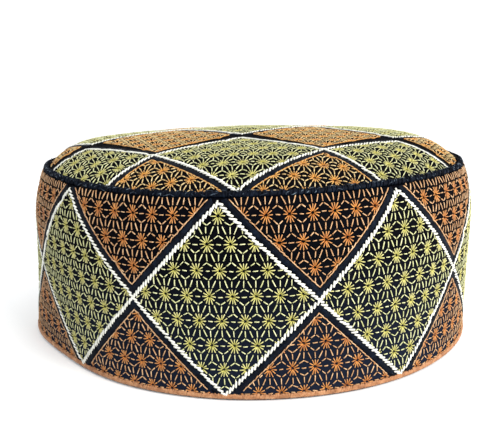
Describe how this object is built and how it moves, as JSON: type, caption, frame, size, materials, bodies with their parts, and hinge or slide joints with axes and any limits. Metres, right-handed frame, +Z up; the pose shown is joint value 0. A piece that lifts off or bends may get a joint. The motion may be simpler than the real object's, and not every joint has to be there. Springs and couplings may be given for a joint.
{
  "type": "kufi cap",
  "caption": "Oval brimless kufi cap with an upright embroidered band, a domed crown panel, a corded seam and a satin-stitched hem border.",
  "frame": {"origin": "middle of the box round the cap, on the surface that its rim rests on", "axes": "+Z up, +X along the longer way across the cap, -Y towards its front"},
  "size_m": [0.1932, 0.189, 0.0857],
  "materials": {
    "band_cloth": "near-black navy cotton worked all over in olive and copper thread",
    "crown_cloth": "near-black navy cotton worked all over in olive and copper thread",
    "seam_thread": "dark navy overcast cotton with a slight sheen",
    "hem_thread": "tan-orange satin stitch with a silky sheen"
  },
  "bodies": {
    "root": {"side_band": "band_cloth", "crown_panel": "crown_cloth", "crown_seam": "seam_thread", "hem_border": "hem_thread"}
  },
  "joints": []
}
